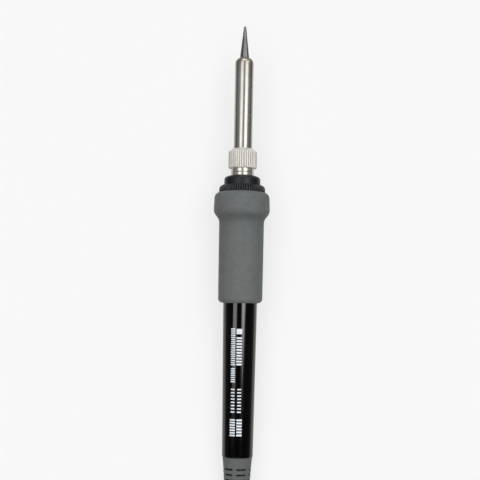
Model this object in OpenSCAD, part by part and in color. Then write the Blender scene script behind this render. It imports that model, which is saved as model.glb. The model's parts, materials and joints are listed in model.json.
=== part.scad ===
// Temperature controlled soldering iron handpiece, without its cord.
// Every piece is drawn round one straight axis, with the cord end at 0 and the tip end up +Z.
// rest_pose() then lays the whole iron down on its grip flange and the rear edge of its handle.

/* [Lengths along the iron] */
// Cord bushing, from its free end to the handle
bushing_len = 29.2; // [24:0.1:34]
// Bare stretch of the handle, between bushing and grip
handle_bare_len = 65.8; // [55:0.1:75]
// Foam grip
grip_len = 48.2; // [44:0.1:60]
// Ribbed ring of the nipple
ring_len = 3.0; // [2.6:0.1:4]
// Domed ring of the nipple
dome_len = 4.3; // [3.8:0.1:5]
// Bright collar seen between the nipple and the nut
neck_len = 2.9; // [2.6:0.1:3.5]
// Knurled nut
nut_len = 8.9; // [8.5:0.1:10]
// Steel sleeve in front of the nut
sleeve_bare_len = 40.3; // [34:0.1:46]
// Tip in front of the sleeve
tip_bare_len = 14.3; // [10:0.1:15]

/* [Handle and grip] */
// Radius of the handle at its rear edge
handle_rear_r = 6.63; // [6.5:0.01:7]
// Radius of the handle where the grip starts
handle_front_r = 7.35; // [7.2:0.01:7.8]
// Bore of the handle
handle_bore_r = 5.6; // [5.4:0.05:5.7]
// Largest radius of the grip, at its flange
flange_r = 12.25; // [11.5:0.05:13]
// Radius of the grip behind the flange
grip_front_r = 9.83; // [9.4:0.01:10.2]
// Radius of the grip at its rear end
grip_rear_r = 9.65; // [9.2:0.01:10]

/* [Nipple and nut] */
// Radius of the ribbed ring
ring_r = 10.05; // [9.5:0.05:10.5]
// Number of ribs round the ring
rib_count = 60; // [36:1:72]
// Radius of the domed ring
dome_r = 7.87; // [7.2:0.01:8.6]
// Radius over the ferrule thread
ferrule_r = 5.0; // [4.9:0.05:5.1]
// Radius over the nut's knurl
nut_r = 6.2; // [6.1:0.05:7]
// Number of grooves in the knurl
knurl_count = 36; // [24:1:48]

/* [Sleeve, tip and heater] */
// Outer radius of the steel sleeve
sleeve_r = 4.05; // [3.9:0.01:4.12]
// Wall of the steel sleeve
sleeve_wall = 0.4; // [0.3:0.05:0.45]
// Radius of the sleeve's open mouth
mouth_r = 2.3; // [2.25:0.05:2.6]
// Radius of the tip's barrel
tip_barrel_r = 3.25; // [3:0.05:3.35]
// Whole length of the tip
tip_len = 42.5; // [38:0.5:46]
// Radius at the point of the tip
tip_point_r = 0.5; // [0.2:0.05:0.6]
// Half angle of the tip's cone
tip_half_angle = 6.74; // [5:0.01:6.9]
// Radius of the ceramic heater rod
heater_r = 1.95; // [1.8:0.01:1.98]

/* [Cord bushing] */
// Radius of the cord hole
cord_hole_r = 2.6; // [2:0.05:2.8]
// Radius at the bushing's free end
bushing_rear_r = 4.5; // [4.3:0.05:5]
// Number of slot rows
slot_rows = 9; // [6:1:9]
// Distance between slot rows
slot_pitch = 2.29; // [2.1:0.01:2.4]
// Slots round each row
slots_per_row = 6; // [4:1:6]

/* [Hidden] */
$fn = 96;

// Stations along the axis, from the cord end
handle_rear_z = bushing_len;
grip_rear_z = handle_rear_z + handle_bare_len;
grip_front_z = grip_rear_z + grip_len;
gap = 0.1;                                  // free play between pieces that move apart
past = 1;                                   // how far a cutting tool runs past a face
ring_rear_z = grip_front_z + gap;
ring_front_z = ring_rear_z + ring_len;
dome_front_z = ring_front_z + dome_len;
nut_rear_z = dome_front_z + neck_len;
nut_front_z = nut_rear_z + nut_len;
mouth_z = nut_front_z + sleeve_bare_len;
point_z = mouth_z + tip_bare_len;

// Handle
handle_front_z = grip_front_z - 0.05;
handle_edge_r = 0.4;                        // rounding of the handle's rear edge
lip_len = 2;                                // rear lip that the bushing snaps over
lip_hole_r = 4.4;
socket_len = 12.5;                          // threaded socket for the nipple
socket_r = 6.22;
socket_pitch = 1.5;
socket_groove = 0.25;
socket_groove_w = 0.7;
socket_rear_plain = 1;                      // unthreaded ends of the socket
socket_front_plain = 1.5;

// Foam grip
grip_bore_clear = 0.05;
grip_edge_front_r = 2.6;
grip_edge_rear_r = 1.9;
flange_crown = 0.2;
flange_flat_r = flange_r - flange_crown;    // the flange falls this much from its crown to its front edge
flange_rear_z = grip_front_z - 7.6;         // where the crown starts to fall to the neck
neck_front_z = grip_front_z - 13.6;
blend_drop = flange_r - grip_front_r;
blend_run = flange_rear_z - neck_front_z;
blend_r = (blend_run * blend_run + blend_drop * blend_drop) / (4 * blend_drop);
blend_angle = 2 * atan(blend_drop / blend_run);

// Nipple
spigot_len = 12;
spigot_relief = 1.2;                        // plain neck between the spigot's thread and the ring
spigot_relief_depth = 0.4;
spigot_lead_in = 0.4;
spigot_r = 6.12;
spigot_groove = 0.3;
nipple_bore_r = 3.8;
ferrule_inset = 1.3;                        // ferrule's rear end, in front of the ring's rear face
ferrule_rear_z = ring_rear_z + ferrule_inset;
ferrule_shank_r = 4.4;
ferrule_anchor_r = 5.6;
ferrule_anchor_len = 1.2;
ferrule_bore_r = 2.9;
ferrule_front_z = nut_front_z - 2.1;        // leaves room in the nut for the sleeve's flange
ferrule_edge = 0.2;
collar_ring_z = dome_front_z + 1.2;         // turned ring line round the bright collar
collar_ring = [0.15, 0.25];                 // its depth and width
neck_groove_w = 0.4;                        // thread run-out groove behind the nut's thread
thread_root_land = 0.15;
thread_depth = 0.4;
thread_pitch = 1;
rib_depth = 0.35;
rib_start = 0.3;                            // the ribs begin this far outside the dome
ring_edge_r = 1.9;
dome_edge_r = 1.8;
dome_fall = 0.5;                            // how far the dome's front face falls towards its edge
ferrule_anchor_z = ferrule_rear_z + 1.6;    // ring that locks the ferrule in the moulding
ferrule_sunk = 0.4;                         // depth that the bright collar stands in the dome
embed_clear = 0.02;
ring_edge_turn = 80;                        // degrees of the ring's and dome's rounded edges
dome_edge_turn = 72;

// Nut
nut_wall = 1.3;
nut_wall_z = nut_front_z - nut_wall;        // inner face of the nut's front wall
nut_bore_clear = 0.08;
nut_hole_clear = 0.12;
nut_bore_r = ferrule_r + nut_bore_clear;
nut_hole_r = sleeve_r + nut_hole_clear;
nut_groove = [0.25, 0.4];                   // depth and width of the rings that stand for its thread
nut_rear_plain = 1.2;                       // unthreaded ends of its bore
nut_front_plain = 0.6;
nut_front_face = 0.25;                      // widths of the flat faces inside the chamfers
nut_rear_face = 0.1;
knurl_depth = 0.28;
land_cut = 0.15;                            // how far a groove's sides would run past the round
nut_chamfer_front = [1.5, nut_r - nut_hole_r - nut_front_face];
nut_chamfer_rear = [0.35, nut_r - nut_bore_r - nut_rear_face];

// Sleeve
sleeve_flange_r = 4.85;
sleeve_flange_len = 0.6;
sleeve_rear_z = ferrule_front_z + gap;
sleeve_relief = 0.2;                        // the sleeve is drawn in a little where it passes through the nut
sleeve_full_z = nut_front_z - gap;
nose_r = 2.6;                               // rounding of the sleeve's nose
nose_centre_r = sleeve_r - nose_r;
nose_z = mouth_z - sqrt(nose_r * nose_r - pow(mouth_r - nose_centre_r, 2));

// Tip
tip_rear_z = point_z - tip_len;
tip_bore_clear = 0.08;
tip_bore_r = heater_r + tip_bore_clear;
tip_rear_edge = 0.25;
tip_bore_end = 0.5;                         // room between the heater and the end of the bore
tip_seat_r = nose_r - sleeve_wall - gap;    // rounded shoulder that the sleeve's nose clamps
cone_top_z = point_z - tip_point_r;

// Heater and its leads
heater_rear_z = ring_rear_z - 9.3;
heater_front_z = mouth_z - 2.5;
heater_edge_r = 0.4;
heater_flange_r = 3.6;
heater_flange_rear_z = ring_rear_z - 5.3;
heater_flange_len = 3;
flange_notch = [1.6, 0.9];                  // width and depth of the notch for the ground lead
lead_steps = 14;
lead_r = 0.3;
lead_angles = [200, 340, 250, 290];         // where the leads leave the rod, round the axis
lead_pads = [-2, 2, -1, 1];                 // the eyelet that each one goes to, counted from the middle
lead_root = 2.2;                            // where they leave it, in front of the rod's rear end
lead_run = [6, 5];                          // how far they run straight at the rod and at the eyelet
lead_rise = 0.6;
lead_clear = 0.05;
lead_sleeve_r = 0.55;
sleeved_steps = [4, 9];                     // part of each lead's path that its woven tube covers
spring_r = 3.3;
spring_wire_r = 0.25;
spring_turns = 3;
spring_sides = 18;                          // straight steps in each turn
spring_tail = [-0.2, 0.55];                 // the ground lead's start: across, and behind the coil
ground_run = [10, 5];                       // as lead_run
ground_rise = 1;
spring_rear_z = heater_flange_rear_z + heater_flange_len + spring_wire_r + gap;
spring_front_z = ferrule_rear_z - spring_wire_r - gap;

// Terminal board, in the plane of the axis
board_front_z = ring_rear_z - 15.3;
board_len = 34;
board_w = 9;
board_t = 1;
pad_pitch = 1.7;
pad_inset = 3.5;                            // rows of eyelets from each end of the board
eyelet_r = 0.4;
eyelet_flange_r = 0.75;
eyelet_flange_t = 0.15;
eyelet_clear = 0.02;
lead_row_z = board_front_z - pad_inset;
lead_land = board_t / 2 + eyelet_flange_t + lead_r;

// Cord stopper, against the head of the bushing
bushing_head_len = 3;
stopper_gap = 1;
stopper_rear_z = handle_rear_z + lip_len + bushing_head_len + stopper_gap;
stopper_len = 9;
stopper_clear = 0.2;
stopper_r = handle_bore_r - stopper_clear;
stopper_hole_r = cord_hole_r + gap;
stopper_split = 1;                          // width of the slit down one side
stopper_flat = [0.8, 3, 3];                 // pliers' flats: depth, start and length

// Cord bushing
bushing_step = 0.23;                        // the handle stands this much over the bushing
bushing_front_r = handle_rear_r - bushing_step;
bushing_collar_len = 2.8;
bushing_collar_flare = 0.3;
bushing_collar_r = bushing_front_r - bushing_collar_flare;
bushing_neck_clear = 0.05;
bushing_neck_r = lip_hole_r - bushing_neck_clear;
bushing_head_r = 5.2;
bushing_head_taper = 0.4;
bushing_edge_r = 0.6;
slot_w = 0.65;
slot_floor_r = 3.5;                         // inner tube that the slots leave whole
slot_first_z = handle_rear_z - 4.9;         // middle of the first row
slot_bridge_angle = 17;
slot_phase = -101.5;                        // middle of the first bridge, seen along the axis

// Lying down: the axis tilts until the crown of the flange and the handle's rear edge are level
handle_edge_z = handle_rear_z + handle_edge_r;
lean_dz = flange_rear_z - handle_edge_z;
lean_dr = (flange_r - blend_r) - (handle_rear_r - handle_edge_r);
lean_len = sqrt(lean_dz * lean_dz + lean_dr * lean_dr);
rest_tilt = atan(lean_dr / lean_dz) + asin((blend_r - handle_edge_r) / lean_len);
lean_low = handle_edge_z * sin(rest_tilt) - (handle_rear_r - handle_edge_r) * cos(rest_tilt) - handle_edge_r;
lean_far = cone_top_z * cos(rest_tilt) + tip_point_r;
lean_near = bushing_edge_r * (cos(rest_tilt) - 1) - (bushing_rear_r - bushing_edge_r) * sin(rest_tilt);

// Places a piece from the straight axis into the resting position
module rest_pose() {
    translate([0, -(lean_far + lean_near) / 2, -lean_low])
        rotate([rest_tilt - 90, 0, 0])
            children();
}

// Points of an arc in [radius, height], angles measured from the radial direction
function arc(centre, r, from, to, steps = 8) =
    [for (i = [0:steps]) let (a = from + (to - from) * i / steps) centre + r * [cos(a), sin(a)]];

// Zigzag of a thread's rings in [radius, height], going up
function rings(r, depth, from, to, pitch) =
    [for (i = [0:floor((to - from) / pitch) - 1]) each [
        [r, from + pitch * i],
        [r - depth, from + pitch * (i + 0.5)],
        [r, from + pitch * (i + 1)]
    ]];

// Star outline that cuts count grooves of the given depth into a round of radius r, and leaves lands
function grooved(r, depth, count) =
    [for (i = [0:2 * count - 1]) let (a = 180 * i / count, out = r + land_cut - (depth + land_cut) * (i % 2))
        out * [cos(a), sin(a)]];

// Cubic curve through space
function bezier(a, b, c, d, steps) =
    [for (i = [0:steps]) let (t = i / steps, u = 1 - t)
        u * u * u * a + 3 * u * u * t * b + 3 * u * t * t * c + t * t * t * d];

tube_ref = [0.31, 0.2, 0.93];               // a direction that no lead or coil runs along
function unit(v) = v / norm(v);
function heading(path, i) = unit(path[min(i + 1, len(path) - 1)] - path[max(i - 1, 0)]);

// Closed round tube along a path
module tube(path, r, sides = 8) {
    last = len(path) - 1;
    points = [for (i = [0:last])
        let (t = heading(path, i), side = unit(cross(t, tube_ref)), up = cross(t, side))
            for (k = [0:sides - 1]) path[i] + r * (cos(360 * k / sides) * side + sin(360 * k / sides) * up)];
    walls = [for (i = [0:last - 1]) for (k = [0:sides - 1])
        let (a = i * sides + k, b = i * sides + (k + 1) % sides)
            each [[a, a + sides, b], [b, a + sides, b + sides]]];
    ends = [[for (k = [0:sides - 1]) k], [for (k = [sides - 1:-1:0]) last * sides + k]];
    polyhedron(points, concat(walls, ends), convexity = 6);
}

// Straight tool for a ring-shaped slot
module ring_cut(inner, outer, z, height) {
    translate([0, 0, z])
        rotate_extrude()
            translate([inner, 0])
                square([outer - inner, height]);
}

// Plated copper tip: cone, rounded shoulder, barrel and blind heater bore
module soldering_tip() {
    cone_slope = tan(tip_half_angle);
    seat_r = tip_point_r + (cone_top_z - mouth_z) * cone_slope;
    seat_from = acos((tip_barrel_r - nose_centre_r) / tip_seat_r);
    seat_to = acos((seat_r - nose_centre_r) / tip_seat_r);
    outline = concat(
        [[0, tip_rear_z], [tip_barrel_r - tip_rear_edge, tip_rear_z]],
        [[tip_barrel_r, tip_rear_z + tip_rear_edge]],
        arc([nose_centre_r, nose_z], tip_seat_r, seat_from, seat_to),
        arc([0, cone_top_z], tip_point_r, tip_half_angle, 90)
    );
    color("slategray")
        rest_pose()
            difference() {
                rotate_extrude() polygon(outline);
                translate([0, 0, tip_rear_z - past])
                    cylinder(r = tip_bore_r, h = heater_front_z + tip_bore_end - tip_rear_z + past);
            }
}

// Stainless sleeve that clamps the tip: flange inside the nut, round nose at the mouth
module tip_enclosure() {
    inner_r = sleeve_r - sleeve_wall;
    to_outer = acos((mouth_r - nose_centre_r) / nose_r);
    to_inner = acos((mouth_r - nose_centre_r) / (nose_r - sleeve_wall));
    flange_z = sleeve_rear_z + sleeve_flange_len;
    outline = concat(
        [[inner_r - sleeve_relief, sleeve_rear_z], [sleeve_flange_r, sleeve_rear_z]],
        [[sleeve_flange_r, flange_z], [sleeve_r - sleeve_relief, flange_z]],
        [[sleeve_r - sleeve_relief, sleeve_full_z], [sleeve_r, sleeve_full_z]],
        arc([nose_centre_r, nose_z], nose_r, 0, to_outer),
        arc([nose_centre_r, nose_z], nose_r - sleeve_wall, to_inner, 0),
        [[inner_r, sleeve_full_z], [inner_r - sleeve_relief, sleeve_full_z]]
    );
    color("lightsteelblue")
        rest_pose()
            rotate_extrude() polygon(outline);
}

// Plated nut with a straight knurl and both ends chamfered
module enclosure_nut() {
    outline = [
        [0, nut_rear_z],
        [nut_r - nut_chamfer_rear[1], nut_rear_z],
        [nut_r, nut_rear_z + nut_chamfer_rear[0]],
        [nut_r, nut_front_z - nut_chamfer_front[0]],
        [nut_r - nut_chamfer_front[1], nut_front_z],
        [0, nut_front_z]
    ];
    color("wheat")
        rest_pose()
            difference() {
                intersection() {
                    rotate_extrude() polygon(outline);
                    translate([0, 0, nut_rear_z])
                        linear_extrude(nut_len)
                            polygon(grooved(nut_r, knurl_depth, knurl_count));
                }
                translate([0, 0, nut_rear_z - past])
                    cylinder(r = nut_bore_r, h = nut_wall_z - nut_rear_z + past);
                translate([0, 0, nut_wall_z - past]) cylinder(r = nut_hole_r, h = nut_len);
                for (z = [nut_rear_z + nut_rear_plain:thread_pitch:nut_wall_z - nut_front_plain])
                    ring_cut(nut_bore_r - past, nut_bore_r + nut_groove[0], z, nut_groove[1]);
            }
}

// Metal tube moulded into the nipple, with the nut's thread on its front
module nipple_ferrule() {
    neck_groove_z = nut_rear_z + gap;
    thread_z = neck_groove_z + neck_groove_w;
    thread_to = thread_z + thread_pitch * floor((ferrule_front_z - thread_z) / thread_pitch);
    anchor_front_z = ferrule_anchor_z + ferrule_anchor_len;
    sunk_z = dome_front_z - ferrule_sunk;
    root_r = ferrule_r - thread_depth;
    outline = concat(
        [[ferrule_bore_r, ferrule_rear_z], [ferrule_shank_r, ferrule_rear_z]],
        [[ferrule_shank_r, ferrule_anchor_z], [ferrule_anchor_r, ferrule_anchor_z]],
        [[ferrule_anchor_r, anchor_front_z], [ferrule_shank_r, anchor_front_z]],
        [[ferrule_shank_r, sunk_z], [ferrule_r, sunk_z]],
        [[ferrule_r, collar_ring_z], [ferrule_r - collar_ring[0], collar_ring_z]],
        [[ferrule_r - collar_ring[0], collar_ring_z + collar_ring[1]], [ferrule_r, collar_ring_z + collar_ring[1]]],
        [[ferrule_r, neck_groove_z], [root_r, neck_groove_z], [root_r, thread_z - thread_root_land]],
        rings(ferrule_r, thread_depth, thread_z, thread_to, thread_pitch),
        [[ferrule_r - ferrule_edge, ferrule_front_z], [ferrule_bore_r, ferrule_front_z]]
    );
    color("gainsboro")
        rest_pose()
            rotate_extrude() polygon(outline);
}

// Black plastic nipple: domed ring, ribbed ring and threaded spigot
module nipple_collar() {
    spigot_rear_z = ring_rear_z - spigot_len;
    anchor_slot_z = ferrule_anchor_z - embed_clear;
    anchor_slot_len = ferrule_anchor_len + 2 * embed_clear;
    relief_r = spigot_r - spigot_relief_depth;
    thread_end_z = ring_rear_z - spigot_relief;
    sunk_z = dome_front_z - ferrule_sunk - embed_clear;
    body = concat(
        [[0, ring_rear_z - past], [relief_r, ring_rear_z - past]],
        [[relief_r, ring_rear_z], [ring_r, ring_rear_z]],
        arc([ring_r - ring_edge_r, ring_front_z - ring_edge_r], ring_edge_r, 0, ring_edge_turn),
        arc([dome_r - dome_edge_r, dome_front_z - dome_fall - dome_edge_r], dome_edge_r, 0, dome_edge_turn),
        [[ferrule_r, dome_front_z], [0, dome_front_z]]
    );
    screw = concat(
        [[0, spigot_rear_z], [spigot_r - spigot_groove, spigot_rear_z]],
        rings(spigot_r, spigot_groove, spigot_rear_z + spigot_lead_in, thread_end_z, socket_pitch),
        [[relief_r, thread_end_z], [relief_r, ring_rear_z], [0, ring_rear_z]]
    );
    color("darkslategray")
        rest_pose()
            difference() {
                union() {
                    intersection() {
                        rotate_extrude() polygon(body);
                        union() {
                            cylinder(r = dome_r + rib_start, h = point_z);
                            linear_extrude(point_z) polygon(grooved(ring_r, rib_depth, rib_count));
                        }
                    }
                    rotate_extrude() polygon(screw);
                }
                translate([0, 0, spigot_rear_z - past])
                    cylinder(r = nipple_bore_r, h = ferrule_rear_z - spigot_rear_z + past);
                translate([0, 0, ferrule_rear_z]) cylinder(r = ferrule_shank_r + embed_clear, h = nut_len);
                ring_cut(past, ferrule_anchor_r + embed_clear, anchor_slot_z, anchor_slot_len);
                ring_cut(past, ferrule_r + embed_clear, sunk_z, past);
            }
}

// Ceramic heater rod that the tip slides over
module heater_rod() {
    outline = concat(
        [[0, heater_rear_z], [heater_r, heater_rear_z]],
        arc([heater_r - heater_edge_r, heater_front_z - heater_edge_r], heater_edge_r, 0, 90, 4),
        [[0, heater_front_z]]
    );
    color("ivory")
        rest_pose()
            rotate_extrude() polygon(outline);
}

// Ceramic ring that holds the heater in the nipple, notched for the ground lead
module heater_flange() {
    color("white")
        rest_pose()
            translate([0, 0, heater_flange_rear_z])
                difference() {
                    cylinder(r = heater_flange_r, h = heater_flange_len);
                    translate([0, 0, -past])
                        cylinder(r = heater_r + embed_clear, h = heater_flange_len + 2 * past);
                    translate([-flange_notch[0] / 2, heater_flange_r - flange_notch[1], -past])
                        cube([flange_notch[0], flange_notch[1] + past, heater_flange_len + 2 * past]);
                }
}

// Path of one lead from the side of the rod to its eyelet, numbered 0 to 3 across the board
function lead_path(i, steps) =
    let (
        a = lead_angles[i],
        start_r = heater_r + lead_r + lead_clear,
        from = [start_r * cos(a), start_r * sin(a), heater_rear_z + lead_root],
        to = [lead_pads[i] * pad_pitch, -lead_land, lead_row_z]
    )
    bezier(from, from - [0, 0, lead_run[0]], to + [0, -lead_rise, lead_run[1]], to, steps);

module lead(i) {
    rest_pose() tube(lead_path(i, lead_steps), lead_r);
}

module heater_lead_1() {
    color("firebrick") lead(0);
}

module heater_lead_2() {
    color("firebrick") lead(1);
}

module sensor_lead_1() {
    color("royalblue") lead(2);
}

module sensor_lead_2() {
    color("royalblue") lead(3);
}

// Woven tubes over the middle of the four leads
module lead_sleeves() {
    color("oldlace")
        rest_pose()
            for (i = [0:3])
                let (path = lead_path(i, lead_steps), from = sleeved_steps[0], to = sleeved_steps[1])
                    difference() {
                        tube([for (k = [from:to]) path[k]], lead_sleeve_r);
                        tube([for (k = [from - 1:to + 1]) path[k]], lead_r + 2 * embed_clear);
                    }
}

// Coil that grounds the ferrule to the board
module grounding_spring() {
    steps = spring_turns * spring_sides;
    rise = (spring_front_z - spring_rear_z) / steps;
    coil = [for (i = [0:steps]) let (a = 90 + 360 * spring_turns * i / steps)
        [spring_r * cos(a), spring_r * sin(a), spring_rear_z + rise * i]];
    color("silver")
        rest_pose() tube(coil, spring_wire_r);
}

// Bare wire from the coil's tail through the flange notch to the middle eyelet
module ground_lead() {
    tail = [spring_tail[0], spring_r, spring_rear_z - spring_tail[1]];
    land = [0, lead_land, lead_row_z];
    color("silver")
        rest_pose()
            tube(bezier(tail, tail - [0, 0, ground_run[0]], land + [0, ground_rise, ground_run[1]], land,
                lead_steps), spring_wire_r);
}

// Positions of the eyelets on the board: five across, in a front and a rear row
function eyelets() =
    [for (z = [lead_row_z, board_front_z - board_len + pad_inset]) for (i = [-2:2]) [i * pad_pitch, 0, z]];

// Circuit board between the heater and the cord
module terminal_board() {
    color("darkgreen")
        rest_pose()
            difference() {
                translate([-board_w / 2, -board_t / 2, board_front_z - board_len])
                    cube([board_w, board_t, board_len]);
                for (p = eyelets())
                    translate(p + [0, -board_t, 0])
                        rotate([-90, 0, 0])
                            cylinder(r = eyelet_r + eyelet_clear, h = 2 * board_t);
            }
}

// Tinned eyelets, riveted through the board
module board_terminals() {
    half = board_t / 2 + eyelet_clear;
    top = half + eyelet_flange_t;
    outline = [
        [0, -top], [eyelet_flange_r, -top], [eyelet_flange_r, -half], [eyelet_r, -half],
        [eyelet_r, half], [eyelet_flange_r, half], [eyelet_flange_r, top], [0, top]
    ];
    color("gold")
        rest_pose()
            for (p = eyelets())
                translate(p)
                    rotate([-90, 0, 0])
                        rotate_extrude($fn = 32) polygon(outline);
}

// Split plastic clamp that keeps the cord from being pulled out
module cord_stopper() {
    color("dimgray")
        rest_pose()
            translate([0, 0, stopper_rear_z])
                difference() {
                    cylinder(r = stopper_r, h = stopper_len);
                    translate([0, 0, -past]) cylinder(r = stopper_hole_r, h = stopper_len + 2 * past);
                    translate([-stopper_split / 2, 0, -past])
                        cube([stopper_split, stopper_r + past, stopper_len + 2 * past]);
                    for (side = [0, 180])
                        rotate([0, 0, side])
                            translate([stopper_r - stopper_flat[0], -stopper_r, stopper_flat[1]])
                                cube([stopper_flat[0] + past, 2 * stopper_r, stopper_flat[2]]);
                }
}

// Tapered glossy tube that carries everything
module handle_body() {
    socket_z = handle_front_z - socket_len;
    outline = concat(
        [[lip_hole_r, handle_rear_z]],
        arc([handle_rear_r - handle_edge_r, handle_edge_z], handle_edge_r, -90, 0),
        [[handle_front_r, grip_rear_z], [handle_front_r, handle_front_z]],
        [[socket_r, handle_front_z], [socket_r, socket_z], [handle_bore_r, socket_z]],
        [[handle_bore_r, handle_rear_z + lip_len], [lip_hole_r, handle_rear_z + lip_len]]
    );
    color("black")
        rest_pose()
            difference() {
                rotate_extrude() polygon(outline);
                for (z = [socket_z + socket_rear_plain:socket_pitch:handle_front_z - socket_front_plain])
                    ring_cut(socket_r - past, socket_r + socket_groove, z, socket_groove_w);
            }
}

// Slip-on foam grip with a finger flange at the front
module foam_grip() {
    bore_r = handle_front_r + grip_bore_clear;
    outline = concat(
        [[bore_r, grip_rear_z]],
        arc([grip_rear_r - grip_edge_rear_r, grip_rear_z + grip_edge_rear_r], grip_edge_rear_r, -90, 0),
        arc([grip_front_r + blend_r, neck_front_z], blend_r, 180, 180 - blend_angle),
        arc([flange_r - blend_r, flange_rear_z], blend_r, -blend_angle, 0),
        arc([flange_flat_r - grip_edge_front_r, grip_front_z - grip_edge_front_r], grip_edge_front_r, 0, 90),
        [[bore_r, grip_front_z]]
    );
    color("gray")
        rest_pose()
            rotate_extrude() polygon(outline);
}

// Rubber strain relief: slotted taper outside, neck and head snapped into the handle's lip
module cord_bushing() {
    head_z = handle_rear_z + lip_len;
    slot_angle = 360 / slots_per_row - slot_bridge_angle;
    outline = concat(
        [[0, 0]],
        arc([bushing_rear_r - bushing_edge_r, bushing_edge_r], bushing_edge_r, -90, 0),
        [[bushing_collar_r, handle_rear_z - bushing_collar_len], [bushing_front_r, handle_rear_z]],
        [[bushing_neck_r, handle_rear_z], [bushing_neck_r, head_z], [bushing_head_r, head_z]],
        [[bushing_head_r - bushing_head_taper, head_z + bushing_head_len], [0, head_z + bushing_head_len]]
    );
    color("gray")
        rest_pose()
            difference() {
                rotate_extrude() polygon(outline);
                translate([0, 0, -past]) cylinder(r = cord_hole_r, h = head_z + bushing_head_len + 2 * past);
                for (row = [0:slot_rows - 1])
                    for (k = [0:slots_per_row - 1])
                        translate([0, 0, slot_first_z - slot_pitch * row - slot_w / 2])
                            rotate([0, 0, slot_phase + slot_bridge_angle / 2 + 360 * k / slots_per_row])
                                rotate_extrude(angle = slot_angle)
                                    translate([slot_floor_r, 0])
                                        square([bushing_front_r, slot_w]);
            }
}

soldering_tip();
tip_enclosure();
enclosure_nut();
nipple_ferrule();
nipple_collar();
heater_rod();
heater_flange();
heater_lead_1();
heater_lead_2();
sensor_lead_1();
sensor_lead_2();
lead_sleeves();
grounding_spring();
ground_lead();
terminal_board();
board_terminals();
cord_stopper();
handle_body();
foam_grip();
cord_bushing();
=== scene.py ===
import json
import math

import bpy
import numpy as np
from mathutils import Matrix, Vector, noise


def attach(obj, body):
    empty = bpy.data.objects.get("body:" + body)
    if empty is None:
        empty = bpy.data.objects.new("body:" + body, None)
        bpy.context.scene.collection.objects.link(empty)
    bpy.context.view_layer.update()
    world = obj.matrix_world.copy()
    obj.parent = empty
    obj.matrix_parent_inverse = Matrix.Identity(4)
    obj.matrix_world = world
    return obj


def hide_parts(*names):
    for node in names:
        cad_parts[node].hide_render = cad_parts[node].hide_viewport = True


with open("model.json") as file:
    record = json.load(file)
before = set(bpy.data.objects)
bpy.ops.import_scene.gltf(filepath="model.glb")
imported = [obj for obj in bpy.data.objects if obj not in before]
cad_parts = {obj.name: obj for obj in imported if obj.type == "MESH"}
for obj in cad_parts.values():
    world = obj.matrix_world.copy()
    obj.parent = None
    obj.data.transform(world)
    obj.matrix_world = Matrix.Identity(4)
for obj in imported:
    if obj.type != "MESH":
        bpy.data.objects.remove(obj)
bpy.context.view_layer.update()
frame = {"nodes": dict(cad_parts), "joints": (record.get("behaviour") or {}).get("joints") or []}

# The iron's own axis: X across, -Y up, Z from the cord end to the tip.
# Stations along it and radii round it are in mm in all that follows.
mm, inMm = 0.001, 1000
nippleHinge = next(joint for joint in frame["joints"] if joint["name"] == "nipple_turn")
hingeStation = 143.3
ironAxis = Vector(nippleHinge["axis"]).normalized()
ironUp = Vector((1, 0, 0)).cross(ironAxis)
ironBase = Vector(nippleHinge["pos_m"]) - ironAxis * hingeStation * mm
ironTurn = Matrix((Vector((1, 0, 0)), -ironUp, ironAxis)).transposed()
ironFrame = Matrix.Translation(ironBase) @ ironTurn.to_4x4()


def along(station, height=0, side=0):  # a point by its station, its height over the axis and its side, all in mm
    return ironFrame @ Vector((side * mm, -height * mm, station * mm))


# Camera: it looks down on the iron from above the grip's rear end, tipped a little towards the tip
cameraView = {"lens": 72.75, "station": 96.3, "height": 422, "side": -0.55, "lean": 3.54, "roll": 1.05}


def makeCamera(view):
    lean, roll = math.radians(view["lean"]), math.radians(view["roll"])
    forward = ironAxis * math.sin(lean) - ironUp * math.cos(lean)
    upward = ironAxis * math.cos(lean) + ironUp * math.sin(lean)
    across = Vector((1, 0, 0))
    right = across * math.cos(roll) + upward * math.sin(roll)
    top = upward * math.cos(roll) - across * math.sin(roll)
    camera = bpy.data.objects.new("camera", bpy.data.cameras.new("camera"))
    bpy.context.scene.collection.objects.link(camera)
    camera.data.lens = view["lens"]
    camera.data.clip_start = 0.01
    camera.matrix_world = (
        Matrix.Translation(along(view["station"], view["height"], view["side"]))
        @ Matrix((right, top, -forward)).transposed().to_4x4()
    )
    bpy.context.scene.camera = camera
    print("camera", tuple(round(x, 4) for x in camera.location))


makeCamera(cameraView)


class Wire:
    # a socket that does shader maths: an operator on it adds the Math node
    def __init__(self, paint, socket):
        self.paint, self.socket = paint, socket

    def maths(self, operation, *values):
        return self.paint.node("Math", {"operation": operation}, dict(enumerate(values)))

    def __add__(self, other):
        return self.maths("ADD", self, other)

    def __radd__(self, other):
        return self.maths("ADD", other, self)

    def __sub__(self, other):
        return self.maths("SUBTRACT", self, other)

    def __rsub__(self, other):
        return self.maths("SUBTRACT", other, self)

    def __mul__(self, other):
        return self.maths("MULTIPLY", self, other)

    def __rmul__(self, other):
        return self.maths("MULTIPLY", other, self)

    def __pow__(self, other):
        return self.maths("POWER", self, other)


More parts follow.
